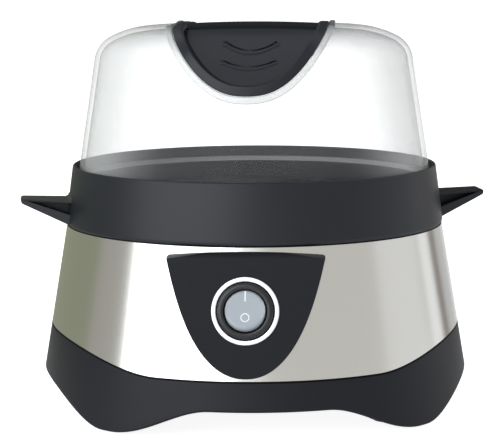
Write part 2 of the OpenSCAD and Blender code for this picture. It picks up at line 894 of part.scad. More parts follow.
// Lifting ear on the rack's band
module ear() {
    difference() {
        intersection() {
            along_y() ear_side();
            translate([0, 0, rack_bottom]) linear_extrude(height = far) ear_plan();
        }
        for (s = [-1, 1])
            translate([0, s * (ear_web_t + far) / 2, 0]) along_y() ear_hollow();
        translate([0, 0, rack_bottom])
            cylinder(r1 = band_r(rack_bottom) - band_t / 2, r2 = band_r(rack_top) - band_t / 2,
                h = rack_top - rack_bottom);
    }
}

// Band of the lift-out rack, with two ears
module rack_band() {
    color(black)
    rotate(rack_turn) {
        rotate_extrude() rack_section();
        for (a = [0, 180]) rotate(a) ear();
    }
}

// Plate with seven seats that lies in the rack's band
module seat_plate() {
    color(black)
    rotate(rack_turn) difference() {
        translate([0, 0, plate_under]) cylinder(r = well_in(plate_under) - fit_gap, h = plate_t);
        for (i = [-1 : 5])
            rotate(60 * i) translate([i < 0 ? 0 : seat_pitch, 0, plate_under]) seat_hole();
    }
}

// Hole of a seat, flared upwards
module seat_hole() {
    translate([0, 0, -1]) cylinder(r = seat_r, h = plate_t);
    cylinder(r1 = seat_r, r2 = seat_r + seat_flare, h = plate_t + eps);
}

// Layer of the lid's form between two distances from its surface
module lid_layer(outer, inner) {
    rotate_extrude() polygon(concat(lid_line(outer), back(lid_line(inner))));
}

// Solid under the lid's surface, moved out by a distance
module lid_solid(outer) {
    rotate_extrude() polygon(concat(lid_line(outer), [[0, lid_foot]]));
}

// Outline of the handle's shield, drawn in by a distance
module handle_outline(inset) {
    shield(handle_half_w - inset, handle_tip + inset, handle_top, far / 10);
}

// Clear lid with the handle's cut-out and the raised lip round it
module lid_shell() {
    color(clear)
    difference() {
        union() {
            lid_layer(0, -lid_t);
            intersection() {
                lid_layer(lip_rise, -lid_t / 2);
                along_y() handle_outline(-lip_w);
            }
        }
        along_y() handle_outline(border_lap);
        intersection() {
            lid_layer(2 * lip_rise, 0);
            along_y() handle_outline(-fit_gap);
        }
    }
}

// Side view of a scoop, between two distances from its curve
module scoop_side(outer, inner) {
    polygon(concat(scoop_line(outer), back(scoop_line(inner))));
}

// Side view of the room above a scoop's underside
module above_scoop() {
    polygon(concat(
        scoop_line(-scoop_t),
        [[scoop_end[0] - far / 10, scoop_end[1]], [scoop_end[0] - far / 10, far], [1, far], [1, scoop_start[1]]]
    ));
}

// Front view of a grip rib, which sags in the middle
module rib_front(rib) {
    mid = rib[0] + rib[1];
    intersection() {
        translate([0, mid]) difference() {
            circle(r = rib[1] + rib_w / 2);
            circle(r = rib[1] - rib_w / 2);
        }
        translate([-rib_half_len, rib[0] - rib_w]) square([2 * rib_half_len, rib[1]]);
    }
}

// One half of the handle: finger scoop, the wall that carries it and the grip ribs
module handle_half() {
    wall_in = border_lap + fit_gap;
    intersection() {
        lid_solid(border_rise / 2);
        along_y() difference() {
            handle_outline(wall_in);
            handle_outline(border_w);
        }
        along_x(far) above_scoop();
    }
    intersection() {
        lid_solid(bar_rise);
        along_y() handle_outline(border_w - fit_gap);
        along_x(far) scoop_side(0, -scoop_t);
    }
    for (rib = [upper_rib, lower_rib]) intersection() {
        along_y() rib_front(rib);
        along_x(far) scoop_side(rib_h, -scoop_t / 2);
    }
}

// Black handle in the lid: border, two finger scoops and the bar between them
module lid_handle() {
    color(black)
    union() {
        intersection() {
            lid_layer(border_rise, fit_gap);
            along_y() difference() {
                handle_outline(0);
                handle_outline(border_w);
            }
        }
        intersection() {
            lid_layer(bar_rise, bar_rise - bar_t);
            along_y() handle_outline(border_w - fit_gap);
            translate([-far / 2, -bar_half - 1, 0]) cube([far, 2 * bar_half + 2, far]);
        }
        for (s = [0, 1]) mirror([0, s, 0]) handle_half();
    }
}

body_shell();
base_skirt();
top_collar();
bottom_cover();
cover_screws();
foot_screws();
foot_pads();
cord_gland();
control_panel();
switch_ring();
switch_housing();
switch_terminals();
rocker();
water_bowl();
heating_element();
thermostat();
thermostat_strap();
strap_nuts();
thermal_fuse();
terminal_block();
inner_leads();
rack_band();
seat_plate();
lid_shell();
lid_handle();
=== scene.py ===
import json
import math

import bmesh
import bpy
from bpy.props import FloatProperty, FloatVectorProperty, PointerProperty
from mathutils import Matrix, Vector


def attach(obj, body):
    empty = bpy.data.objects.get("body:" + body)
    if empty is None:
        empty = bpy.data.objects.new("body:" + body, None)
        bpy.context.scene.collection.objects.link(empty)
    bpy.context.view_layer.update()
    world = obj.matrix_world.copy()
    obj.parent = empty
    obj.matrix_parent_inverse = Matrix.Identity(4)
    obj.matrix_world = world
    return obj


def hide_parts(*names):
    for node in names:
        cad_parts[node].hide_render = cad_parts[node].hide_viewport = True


bl_info = {
    "name": "Countertop Cooker",
    "version": (1, 0, 0),
    "blender": (4, 5, 0),
    "location": "View3D > Sidebar > Cooker",
    "description": "Builds a round countertop cooker on its packed frame, piece by piece",
    "category": "Object",
}

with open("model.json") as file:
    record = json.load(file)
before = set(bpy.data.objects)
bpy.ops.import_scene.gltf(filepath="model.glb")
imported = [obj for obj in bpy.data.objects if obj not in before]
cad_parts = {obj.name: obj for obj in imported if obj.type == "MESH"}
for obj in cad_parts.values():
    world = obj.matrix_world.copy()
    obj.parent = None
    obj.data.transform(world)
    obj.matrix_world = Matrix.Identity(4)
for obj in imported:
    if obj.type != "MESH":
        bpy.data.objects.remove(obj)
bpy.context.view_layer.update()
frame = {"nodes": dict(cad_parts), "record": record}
FULL_TURN = 2 * math.pi
WELD = 1e-7
LOOSE_WELD = 1e-6
ROUND_STEPS = 240
SWITCH_STEPS = 96
FINE_GRAIN = 0.00001
RUBBER_GRAIN = 0.00008
SHIELD_POWER = 2.4
SHOULDER_LEAN = math.radians(62)
EDGE_LEAN = math.radians(88)
WALL_END, SHOULDER_END, EDGE_END = 0.5, 0.7, 0.9
BLACK = (0, 0, 0, 1)


def length(name, description, default):
    """Property that holds a length in metres."""
    return FloatProperty(name=name, description=description, default=default, unit="LENGTH", precision=4)


def turn(name, description, degrees):
    """Property that holds an angle."""
    return FloatProperty(name=name, description=description, default=math.radians(degrees), subtype="ANGLE")


def colour(name, description, default):
    """Property that holds a colour."""
    return FloatVectorProperty(
        name=name, description=description, default=default, subtype="COLOR", size=3, min=0, max=1
    )


class BodySizes(bpy.types.PropertyGroup):
    """Sizes of the steel sleeve and the black base under it."""

    foot_radius: length("Foot radius", "Radius of the body's cone on the table", 0.0942)
    top_radius: length("Top radius", "Radius of the cone at the sleeve's top", 0.0812)
    top: length("Sleeve top", "Height of the sleeve's top", 0.0772)
    sheet: length("Sheet", "Thickness of the steel", 0.0008)
    base_turn: turn("Base turn", "Turn of the base under the sleeve", 6)
    wall: length("Base wall", "Wall of the base", 0.0024)
    seam_front: length("Seam, front", "Height of the seam at front and rear", 0.0248)
    seam_side: length("Seam, side", "Height of the seam at the sides", 0.0353)
    seam_flat: length("Seam level", "Half width of the seam's level part", 0.045)
    arch_front: length("Arch, front", "Height of the base's lower edge at front and rear", 0.0128)
    arch_side: length("Arch, side", "Height of the base's lower edge at the sides", 0.0154)
    arch_flat: length("Arch level", "Half width of the front arch's level part", 0.024)
    lobe_at: length("Lobe distance", "Distance of a foot lobe from the middle", 0.0655)
    lobe_flat: length("Lobe level", "Half width of a lobe's level part", 0.0015)
    lobe_lift: length("Lobe lift", "Height of the lobes above the table", 0.001)


class PanelSizes(bpy.types.PropertyGroup):
    """Sizes of the control panel and its round switch."""

    middle: length("Switch height", "Height of the switch's middle", 0.0525)
    half_width: length("Half width", "Half width of the panel at its top", 0.0318)
    up: length("Up", "Reach of the panel above the switch", 0.0235)
    down: length("Down", "Reach of the panel below the switch", 0.0269)
    proud: length("Proud", "Height of the face in front of the sleeve", 0.0018)
    arch: length("Arch", "Drop of the top edge towards the corners", 0.001)
    ring: length("Ring radius", "Outer radius of the bright ring", 0.0135)
    ring_width: length("Ring width", "Width of the bright ring", 0.0018)
    bezel: length("Bezel radius", "Radius of the switch's bezel", 0.0115)
    hole: length("Hole radius", "Radius of the switch's body and its hole", 0.01)
    depth: length("Depth", "Depth of the switch's body behind the face", 0.021)
    rocker: length("Rocker radius", "Radius of the rocker's ball-shaped side", 0.0083)
    tilt: turn("Rocker tilt", "Tilt of the rocker at rest", 11)


class RackSizes(bpy.types.PropertyGroup):
    """Sizes of the lift-out rack."""

    turn: turn("Turn", "Turn of the rack on the body", 10.5)
    bottom: length("Bottom", "Height of the band's lower edge", 0.0775)
    top: length("Top", "Height of the rim", 0.1026)
    low_radius: length("Low radius", "Largest radius of the band", 0.0815)
    top_radius: length("Top radius", "Radius of the rim", 0.0784)
    rim: length("Rim", "Wall of the rim round the lid", 0.0016)
    ledge: length("Ledge height", "Height of the ledge that carries the lid", 0.096)
    well: length("Well radius", "Inner radius of the rack", 0.0729)
    reach: length("Ear reach", "Reach of the ears from the middle", 0.101)
    ear_top: length("Ear top", "Height of the ears' upper face", 0.0902)
    ear_root: length("Ear root", "Width of an ear at the band", 0.021)
    ear_tip: length("Ear tip", "Width of an ear at its tip", 0.014)
    slope: turn("Ear slope", "Slope of an ear's underside", 25)


class LidSizes(bpy.types.PropertyGroup):
    """Sizes of the clear lid and its black handle."""

    foot: length("Foot", "Height of the lid's lower edge", 0.0963)
    foot_radius: length("Foot radius", "Radius of the lid's lower edge", 0.07638)
    wall_radius: length("Wall radius", "Radius where the shoulder starts", 0.06838)
    wall_top: length("Wall top", "Height where the shoulder starts", 0.1482)
    shoulder: length("Shoulder", "Radius of the shoulder's curve", 0.0125)
    edge: length("Roof edge", "Radius of the curve between shoulder and roof", 0.040)
    wall: length("Wall", "Wall of the lid", 0.0022)
    lip_width: length("Lip width", "Width of the clear lip round the handle", 0.003)
    lip_rise: length("Lip rise", "Height of the clear lip", 0.0011)
    half_width: length("Handle half width", "Half width of the handle at its top", 0.0328)
    tip: length("Handle tip", "Height of the tip of the handle's shield", 0.1362)
    border: length("Border", "Width of the handle's border", 0.0042)
    border_rise: length("Border rise", "Height of the border above the lid", 0.001)
    lap: length("Lap", "Overlap of the border on the lid", 0.002)
    bar: length("Bar", "Half depth of the bar between the scoops", 0.013)
    bar_rise: length("Bar rise", "Height of the bar above the lid", 0.0004)
    bar_drop: length("Bar drop", "Depth of the rounding along the bar's edges", 0.0022)
    rib_rise: length("Rib rise", "Height of the grip ribs", 0.0005)
    rib_width: length("Rib width", "Width of the grip ribs", 0.003)
    rib_groove: length("Rib groove", "Depth of the groove along a rib's upper side", 0.0017)
    rib_gap: length("Rib gap", "Width of that groove", 0.0024)
    rib_half: length("Rib half length", "Half length of the grip ribs", 0.0104)


class Finish(bpy.types.PropertyGroup):
    """Colours of the materials."""

    black: colour("Black plastic", "Satin black plastic", (0.0105, 0.0122, 0.0172))
    steel: colour("Steel", "Brushed steel", (0.72, 0.715, 0.69))
    bright: colour("Trim", "Bright trim", (0.88, 0.88, 0.9))
    rocker: colour("Rocker", "Rocker", (0.375, 0.415, 0.45))
    mark: colour("Marks", "Marks on the rocker", (0.9, 0.9, 0.9))
    clear: colour("Lid", "Clear lid", (0.985, 0.988, 0.988))
    floor: colour("Floor", "Floor", (0.93, 0.93, 0.93))


class Sock:
    """A socket of a node tree, on which sums add nodes."""

    def __init__(self, tree, socket=None):
        self.tree = tree
        self.socket = socket

    def node(self, kind, settings=None, inputs=None, output=0):
        """Adds a node, sets it up, feeds it and returns one of its outputs."""
        made = self.tree.nodes.new(kind)
        for key, value in (settings or {}).items():
            setattr(made, key, value)
        for key, value in (inputs or {}).items():
            if isinstance(value, Sock):
                self.tree.links.new(value.socket, made.inputs[key])
            else:
                made.inputs[key].default_value = value
        return Sock(self.tree, made.outputs[output] if made.outputs else None)

    def math(self, operation, left, right):
        """Adds a Math node for two values."""
        return self.node("ShaderNodeMath", {"operation": operation}, {0: left, 1: right})

    def __add__(self, other):
        return self.math("ADD", self, other)

    def __radd__(self, other):
        return self.math("ADD", other, self)

    def __sub__(self, other):
        return self.math("SUBTRACT", self, other)

    def __rsub__(self, other):
        return self.math("SUBTRACT", other, self)

    def __mul__(self, other):
        return self.math("MULTIPLY", self, other)

    def __rmul__(self, other):
        return self.math("MULTIPLY", other, self)

    def mix(self, low, high):
        """Mixes two colours by this value."""
        return self.node(
            "ShaderNodeMix", {"data_type": "RGBA"}, {"Factor": self, 6: low, 7: high}, output=2
        )

    def lighter(self, other):
        """Adds another colour to this one."""
        settings = {"data_type": "RGBA", "blend_type": "ADD"}
        return self.node("ShaderNodeMix", settings, {"Factor": 1.0, 6: self, 7: other}, output=2)


def shade(rgb, level):
    """A colour made lighter or darker."""
    return (*(min(1.0, channel * level) for channel in rgb), 1.0)


def new_material(name):
    """Empty material, and a socket to start its nodes from."""
    made = bpy.data.materials.new(name)
    made.use_nodes = True
    made.node_tree.nodes.clear()
    return made, Sock(made.node_tree)


def set_surface(start, shader):
    """Feeds a shader to the material's output."""
    start.node("ShaderNodeOutputMaterial", inputs={"Surface": shader})


def noise(start, scale, stretch=(1, 1, 1), detail=3.0):
    """Noise in the object's own coordinates, finer along a stretched axis."""
    place = start.node("ShaderNodeTexCoord", output=3)
    place = start.node("ShaderNodeVectorMath", {"operation": "MULTIPLY"}, {0: place, 1: stretch})
    return start.node("ShaderNodeTexNoise", inputs={"Vector": place, "Scale": scale, "Detail": detail})


def plastic(name, rgb, roughness, gloss=0.5, grain=0.00004):
    """Moulded plastic or rubber with a fine grain and a little variation of tone."""
    made, start = new_material(name)
    cloud = noise(start, 26.0)
    fine = noise(start, 1900.0, detail=2.0)
    bump = start.node("ShaderNodeBump", inputs={"Strength": 0.2, "Distance": grain, "Height": fine})
    shader = start.node(
        "ShaderNodeBsdfPrincipled",
        inputs={
            "Base Color": cloud.mix(shade(rgb, 0.88), shade(rgb, 1.12)),
            "Roughness": roughness + (cloud - 0.5) * 0.12 + (fine - 0.5) * 0.06,
            "Specular IOR Level": gloss,
            "Normal": bump,
        },
    )
    set_surface(start, shader)
    return made


def metal(name, rgb, roughness, scale, grain=1.0, stretch=(1, 1, 1)):
    """Metal with brush lines along the axes that are not stretched."""
    made, start = new_material(name)
    lines = noise(start, scale, stretch, detail=4.0)
    relief = {"Strength": 0.3 * grain, "Distance": 0.000006, "Height": lines}
    shader = start.node(
        "ShaderNodeBsdfPrincipled",
        inputs={
            "Base Color": lines.mix(shade(rgb, 1 - 0.07 * grain), shade(rgb, 1 + 0.06 * grain)),
            "Roughness": roughness + (lines - 0.5) * (0.16 * grain),
            "Metallic": 1.0,
            "Normal": start.node("ShaderNodeBump", inputs=relief),
        },
    )
    set_surface(start, shader)
    return made


def clear_plastic(name, rgb, haze_and_sheen, rim, foot):
    """Clear thin-walled plastic: clear head on; cloudier and glossier at grazing angles, where its body is
    painted grey in place of the walls' reflection and refraction; milky below a height.
    """
    made, start = new_material(name)
    cloud = noise(start, 34.0)
    facing = start.node("ShaderNodeLayerWeight", inputs={"Blend": 0.5}, output="Facing")
    # Painted shade: toward grazing angles the body's base colour greys and its share grows, standing in for
    # the reflection and refraction along the walls' edges.
    painted_edge_grey = start.math("POWER", facing, rim)
    through = start.node("ShaderNodeBsdfTransparent", inputs={"Color": shade(rgb, 1.0)})
    body = start.node(
        "ShaderNodeBsdfPrincipled",
        inputs={
            "Base Color": painted_edge_grey.mix(shade(rgb, 0.86), shade(rgb, 0.45)),
            "Roughness": 0.06 + cloud * 0.06,
        },
    )
    # A larger share of the body at grazing angles, part of that painted edge shade.
    edge = start.node(
        "ShaderNodeMapRange",
        {"interpolation_type": "SMOOTHSTEP"},
        {"Value": facing, "From Min": 0.12, "From Max": 0.62, "To Min": 0.0, "To Max": 0.2},
    )
    place = start.node("ShaderNodeTexCoord", output=3)
    height = start.node("ShaderNodeSeparateXYZ", inputs={0: place}, output=2)
    milky = start.math("LESS_THAN", height, foot)
    share = edge + painted_edge_grey * 0.5 + (haze_and_sheen + (cloud - 0.5) * (haze_and_sheen * 0.4)) + milky * 0.3
    set_surface(start, start.node("ShaderNodeMixShader", inputs={0: share, 1: through, 2: body}))
    return made


def material(slot):
    """The material of a slot, or of a look of its own, made when it is first asked for."""
    name = "cooker_" + slot
    found = bpy.data.materials.get(name)
    if found:
        return found
    tone = bpy.context.scene.cooker_finish
    milky_edge = 0.0016
    foot = bpy.context.scene.cooker_lid.foot + milky_edge

    def black(level):
        return shade(tone.black, level)[:3]

    looks = {
        "steel": (metal, tone.steel, 0.2, 420.0, 0.25, (1, 1, 12)),
        "black_plastic": (plastic, tone.black, 0.42, 0.34),
        "base_black": (plastic, black(0.75), 0.48, 0.24),
        "seat_black": (plastic, tone.black, 0.5, 0.25, 0.000004),
        # A much darker copy of the black plastic: painted shade on the handle's bar.
        "bar_black": (plastic, black(0.4), 0.5, 0.12),
        # A darker copy of the black plastic for painted shade: the strip under the sleeve's edge and the
        # sides of the handle's scoops.
        "deep_black": (plastic, black(0.25), 0.6, 0.08),
        "panel_black": (plastic, black(0.6), 0.5, 0.2),
        "switch_black": (plastic, black(0.6), 0.26, 0.5, FINE_GRAIN),
        "rocker_grey": (plastic, tone.rocker, 0.34, 0.5, FINE_GRAIN),
        "mark_white": (plastic, tone.mark, 0.4, 0.5, FINE_GRAIN),
        "bright_trim": (metal, tone.bright, 0.42, 300.0, 0.5),
        "screw_steel": (metal, (0.6, 0.6, 0.6), 0.35, 400.0),
        "bowl_metal": (metal, (0.68, 0.68, 0.67), 0.32, 200.0),
        "heater_metal": (metal, (0.22, 0.21, 0.2), 0.5, 150.0),
        "brass": (metal, (0.62, 0.48, 0.2), 0.3, 300.0),
        "rubber": (plastic, (0.02, 0.02, 0.02), 0.75, 0.3, RUBBER_GRAIN),
        "lead_rubber": (plastic, (0.48, 0.1, 0.05), 0.75, 0.3, RUBBER_GRAIN),
        "cream_plastic": (plastic, (0.78, 0.74, 0.64), 0.5),
        "clear_plastic": (clear_plastic, tone.clear, 0.03, 7.0, foot),
        # The lip's heavy haze is a painted highlight that makes it whitish, and its low rim power spreads the
        # painted grey of its edges further in.
        "clear_lip": (clear_plastic, tone.clear, 0.42, 1.6, foot),
    }
    maker, *values = looks[slot]
    return maker(name, *values)


def ease(share):
    """Smooth step from 0 to 1."""
    held = min(max(share, 0.0), 1.0)
    return held * held * (3 - 2 * held)


def last_share(holds, steps):
    """Share from 0 to 1 up to which a test holds, found by halving."""
    low, high = 0.0, 1.0
    for _ in range(steps):
        middle = (low + high) / 2
        if holds(middle):
            low = middle
        else:
            high = middle
    return low


def cone_radius(body, height):
    """Radius of the body's cone at a height."""
    return body.foot_radius - (body.foot_radius - body.top_radius) * height / body.top


def seam_height(body, x):
    """Height of the seam between sleeve and base, by the distance from the middle."""
    rise = ease((abs(x) - body.seam_flat) / (body.foot_radius - body.seam_flat))
    return body.seam_front + (body.seam_side - body.seam_front) * rise


def edge_height(body, x):
    """Height of the base's lower edge, by the distance from the middle."""
    inner, outer = body.lobe_at - body.lobe_flat, body.lobe_at + body.lobe_flat
    front = ease((inner - abs(x)) / (inner - body.arch_flat))
    side = ease((abs(x) - outer) / (body.foot_radius - outer))
    return (
        body.lobe_lift
        + (body.arch_front - body.lobe_lift) * front
        + (body.arch_side - body.lobe_lift) * side
    )


def on_cone(body, angle, height_at):
    """Height at which an edge, given by the distance from the middle, crosses the cone in a direction."""
    height = body.seam_front
    for _ in range(8):
        height = height_at(body, cone_radius(body, height) * math.sin(angle))
    return height


def around(radius, angle, height):
    """Point at a radius, an angle from the front and a height."""
    return Vector((radius * math.sin(angle), -radius * math.cos(angle), height))


def sheet(columns, rows, place):
    """Grid whose points are placed by their two shares, from 0 to 1."""
    bm = bmesh.new()
    bmesh.ops.create_grid(bm, x_segments=columns, y_segments=rows, size=0.5)
    for vert in bm.verts:
        vert.co = place(vert.co.x + 0.5, vert.co.y + 0.5)
    bmesh.ops.remove_doubles(bm, verts=bm.verts, dist=WELD)
    bmesh.ops.recalc_face_normals(bm, faces=bm.faces)
    return bm


def cone_band(body, rows, low_at, high_at):
    """Sheet on the body's cone between two edges, whose heights are given by the direction."""

    def place(turned, share):
        angle = turned * FULL_TURN
        low, high = low_at(angle), high_at(angle)
        height = low + (high - low) * share
        return around(cone_radius(body, height), angle + body.base_turn, height)

    return sheet(ROUND_STEPS, rows, place)


def swept(section, columns, place):
    """Band that carries a section round the axis; its points are placed by an angle and the section."""
    last = len(section) - 1

    def at(turned, share):
        return place(turned * FULL_TURN, *section[round(share * last)])

    return sheet(columns, last, at)


def spun(section, steps):
    """Ring or disc turned from a section of radii and heights round the axis."""
    bm = bmesh.new()
    verts = [bm.verts.new((radius, 0, height)) for radius, height in section]
    edges = [bm.edges.new(pair) for pair in zip(verts, verts[1:])]
    bmesh.ops.spin(
        bm, geom=verts + edges, axis=(0, 0, 1), cent=(0, 0, 0), angle=FULL_TURN, steps=steps, use_merge=True
    )
    bmesh.ops.remove_doubles(bm, verts=bm.verts, dist=WELD)
    bmesh.ops.recalc_face_normals(bm, faces=bm.faces)
    return bm


def prism(outline, low, high):
    """Outline in the plane, drawn out between two heights."""
    bm = bmesh.new()
    face = bm.faces.new([bm.verts.new((x, y, low)) for x, y in outline])
    drawn = bmesh.ops.extrude_face_region(bm, geom=[face])["geom"]
    upper = [part for part in drawn if isinstance(part, bmesh.types.BMVert)]
    bmesh.ops.translate(bm, verts=upper, vec=(0, 0, high - low))
    bmesh.ops.recalc_face_normals(bm, faces=bm.faces)
    return bm


def moved(bm, matrix):
    """The mesh, after a matrix has turned and shifted it."""
    bmesh.ops.transform(bm, matrix=matrix, verts=bm.verts)
    return bm


def cut_off(bm, point, direction):
    """Cuts a closed mesh at a plane, takes away the side that the direction points to and closes it."""
    whole = bm.verts[:] + bm.edges[:] + bm.faces[:]
    bmesh.ops.bisect_plane(bm, geom=whole, dist=WELD, plane_co=point, plane_no=direction, clear_outer=True)
    bmesh.ops.holes_fill(bm, edges=bm.edges, sides=0)


def thicken(bm, wall):
    """Gives a sheet a wall behind its outer face."""
    bmesh.ops.solidify(bm, geom=bm.faces[:], thickness=wall)
    bmesh.ops.recalc_face_normals(bm, faces=bm.faces)


def round_edges(bm, width, limit=40.0, segments=3, keep=None):
    """Rounds the edges whose faces meet at more than a limit in degrees, or those of them to keep."""
    sharp = [
        edge
        for edge in bm.edges
        if edge.is_manifold
        and edge.calc_face_angle(0.0) > math.radians(limit)
        and (keep is None or keep(edge))
    ]
    bmesh.ops.bevel(
        bm,
        geom=sharp,
        offset=width,
        offset_type="OFFSET",
        affect="EDGES",
        segments=segments,
        profile=0.5,
        material=-1,
        clamp_overlap=True,
    )


def join(target, *others):
    """Adds other meshes to a mesh and frees them."""
    for other in others:
        spare = bpy.data.meshes.new("spare")
        other.to_mesh(spare)
        other.free()
        target.from_mesh(spare)
        bpy.data.meshes.remove(spare)
    return target


def boolean(bm, tool, operation):
    """What a boolean operation leaves of a closed mesh; the mesh and the tool are freed."""
    pair = []
    for part in (bm, tool):
        mesh = bpy.data.meshes.new("spare")
        part.to_mesh(mesh)
        part.free()
        pair.append(bpy.data.objects.new("spare", mesh))
        bpy.context.scene.collection.objects.link(pair[-1])
    step = pair[0].modifiers.new("Boolean", "BOOLEAN")
    step.object, step.operation, step.solver = pair[1], operation, "EXACT"
    left = bmesh.new()
    left.from_object(pair[0], bpy.context.evaluated_depsgraph_get())
    for thing in pair:
        bpy.data.meshes.remove(thing.data)
    if not left.faces:
        raise RuntimeError("a boolean operation left nothing")
    return left


def finish_piece(bm, name, body, slot, nodes=(), sharp=35.0, look=None):
    """Makes the mesh an object that rides on a body, in a slot's look or its own, for CAD nodes."""
    mesh = bpy.data.meshes.new(name)
    bm.to_mesh(mesh)
    bm.free()
    mesh.shade_smooth()
    mesh.set_sharp_from_angle(angle=math.radians(sharp))
    piece = bpy.data.objects.new(name, mesh)
    bpy.context.scene.collection.objects.link(piece)
    mesh.materials.append(material(look or slot))
    even = piece.modifiers.new("Even normals", "WEIGHTED_NORMAL")
    even.keep_sharp = True
    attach(piece, body)
    if nodes:
        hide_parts(*nodes)


def refined(node):
    """Copy of a CAD node's mesh with its loose triangles merged."""
    bm = bmesh.new()
    bm.from_mesh(frame["nodes"][node].data)
    bmesh.ops.remove_doubles(bm, verts=bm.verts, dist=LOOSE_WELD)
    bmesh.ops.dissolve_limit(
        bm, angle_limit=math.radians(0.5), verts=bm.verts, edges=bm.edges, delimit={"NORMAL"}
    )
    return bm


def panel_matrix(body, panel):
    """Frame of the control panel: x to the right, y up the slope, z out of the face."""
    lean = math.atan((body.foot_radius - body.top_radius) / body.top)
    origin = around(cone_radius(body, panel.middle), 0.0, panel.middle)
    return Matrix.Translation(origin) @ Matrix.Rotation(math.pi / 2 - lean, 4, "X")


def panel_outline(panel, inset=0.0):
    """Shield-shaped outline of the control panel, drawn in by an inset."""
    steps = 40
    scale = 1 - inset / panel.half_width
    side = panel.up - panel.arch + panel.down
    outline = []
    for step in range(-steps, steps + 1):
        share = abs(step / steps)
        bulge = 0.74 * share**2.2 + 0.26 * share**6
        outline.append((panel.half_width * step / steps, side * bulge - panel.down))
    for step in range(steps - 2, -steps, -2):
        share = step / steps
        outline.append((panel.half_width * share, panel.up - panel.arch * share * share))
    return [(x * scale, y * scale) for x, y in outline]


class LidForm:
    """Surface of the lid, and the shield-shaped outline of its handle on it."""

    def __init__(self, lid):
        self.lid = lid
        self.wall_lean = math.atan((lid.foot_radius - lid.wall_radius) / (lid.wall_top - lid.foot))
        self.foot = Vector((lid.foot_radius, lid.foot))
        self.wall_top = Vector((lid.wall_radius, lid.wall_top))
        self.shoulder = self.wall_top - lid.shoulder * self.out(self.wall_lean)
        self.edge = self.shoulder + (lid.shoulder - lid.edge) * self.out(SHOULDER_LEAN)
        start = self.edge + lid.edge * self.out(EDGE_LEAN)
        self.roof_radius = start.x / math.cos(EDGE_LEAN)
        self.roof = Vector((0, start.y - self.roof_radius * math.sin(EDGE_LEAN)))
        self.apex = self.roof.y + self.roof_radius
        self.top = self.apex + lid.border_rise

    @staticmethod
    def out(lean):
        """Outward direction, in radius and height, of a wall that leans by an angle."""
        return Vector((math.cos(lean), math.sin(lean)))

    def section(self, share, lift=0.0):
        """Radius and height of the surface, from the foot at 0 to the axis at 1, moved out by a lift."""
        if share < WALL_END:
            return self.foot.lerp(self.wall_top, share / WALL_END) + lift * self.out(self.wall_lean)
        if share < SHOULDER_END:
            part = (share - WALL_END) / (SHOULDER_END - WALL_END)
            lean = self.wall_lean + (SHOULDER_LEAN - self.wall_lean) * part
            return self.shoulder + (self.lid.shoulder + lift) * self.out(lean)
        if share < EDGE_END:
            part = (share - SHOULDER_END) / (EDGE_END - SHOULDER_END)
            lean = SHOULDER_LEAN + (EDGE_LEAN - SHOULDER_LEAN) * part
            return self.edge + (self.lid.edge + lift) * self.out(lean)
        lean = EDGE_LEAN + (math.pi / 2 - EDGE_LEAN) * (share - EDGE_END) / (1 - EDGE_END)
        return self.roof + (self.roof_radius + lift) * self.out(lean)

    def roof_height(self, x, y, lift):
        """Height of the roof above a point."""
        radius = self.roof_radius + lift
        return self.roof.y + math.sqrt(radius * radius - x * x - y * y)

    def half_width(self, height, inset):
        """Half width of the handle's outline at a height, drawn in by an inset."""
        low = self.lid.tip + inset
        share = max(0.0, (height - low) / (self.top - low))
        return (self.lid.half_width - inset) * share ** (1 / SHIELD_POWER)

    def share_at(self, angle, inset, lift):
        """Share of the section at which the outline crosses the surface in a direction."""
        side = abs(math.sin(angle))

        def outside(share):
            radius, height = self.section(share, lift)
            return self.half_width(height, inset) < radius * side or height < self.lid.tip + inset

        return last_share(outside, 44)

    def rim(self, angle, inset, lift):
        """Point of the outline on the surface in a direction."""
        radius, height = self.section(self.share_at(angle, inset, lift), lift)
        return around(radius, angle, height)


class CookerPiece:
    """Common ground of the operators that build pieces."""

    bl_options = {"REGISTER", "UNDO"}

    def execute(self, context):
        self.build(context.scene)
        return {"FINISHED"}


class COOKER_OT_sleeve(CookerPiece, bpy.types.Operator):
    """Builds the conical steel sleeve down to its wavy seam"""

    bl_idname = "cooker.sleeve"
    bl_label = "Steel Sleeve"

    def build(self, scene):
        body, panel = scene.cooker_body, scene.cooker_panel
        gap = body.sheet / 4

        def seam_at(angle):
            return on_cone(body, angle, seam_height) + gap

        bm = cone_band(body, 16, seam_at, lambda angle: body.top)
        thicken(bm, body.sheet)
        lap, reach = 0.0012, 0.006
        opening = moved(prism(panel_outline(panel, lap), -reach, reach), panel_matrix(body, panel))
        finish_piece(boolean(bm, opening, "DIFFERENCE"), "sleeve", "base", "steel", ["body_shell"])


class COOKER_OT_base(CookerPiece, bpy.types.Operator):
    """Builds the black base with its wavy edges, floor and foot columns"""

    bl_idname = "cooker.base"
    bl_label = "Base"

    def build(self, scene):
        body = scene.cooker_body

        def seam_at(angle):
            return on_cone(body, angle, seam_height)

        bm = cone_band(body, 8, lambda angle: on_cone(body, angle, edge_height), seam_at)
        thicken(bm, body.wall)
        round_edges(bm, 0.0007, 50)
        low, high, wall = -0.002, 0.05, body.wall / 2
        low_radius, high_radius = (cone_radius(body, height) - wall for height in (low, high))
        room = spun([(0.0, low), (low_radius, low), (high_radius, high), (0.0, high)], ROUND_STEPS)
        join(bm, boolean(refined("base_skirt"), room, "INTERSECT"))
        finish_piece(bm, "base", "base", "black_plastic", ["base_skirt"], look="base_black")
        # A thin dark strip just under the sleeve's lower edge, proud of the base: painted shadow of the
        # sleeve's edge.
        proud, size = 0.00005, 0.0006

        def line(angle, up, out):
            height = seam_at(angle) + up
            return around(cone_radius(body, height) + out, angle + body.base_turn, height)

        section = [(0.0, proud), (-size, proud), (-size, -size), (0.0, -size), (0.0, proud)]
        seam = swept(section, ROUND_STEPS, line)
        finish_piece(seam, "base_seam", "base", "black_plastic", look="deep_black")


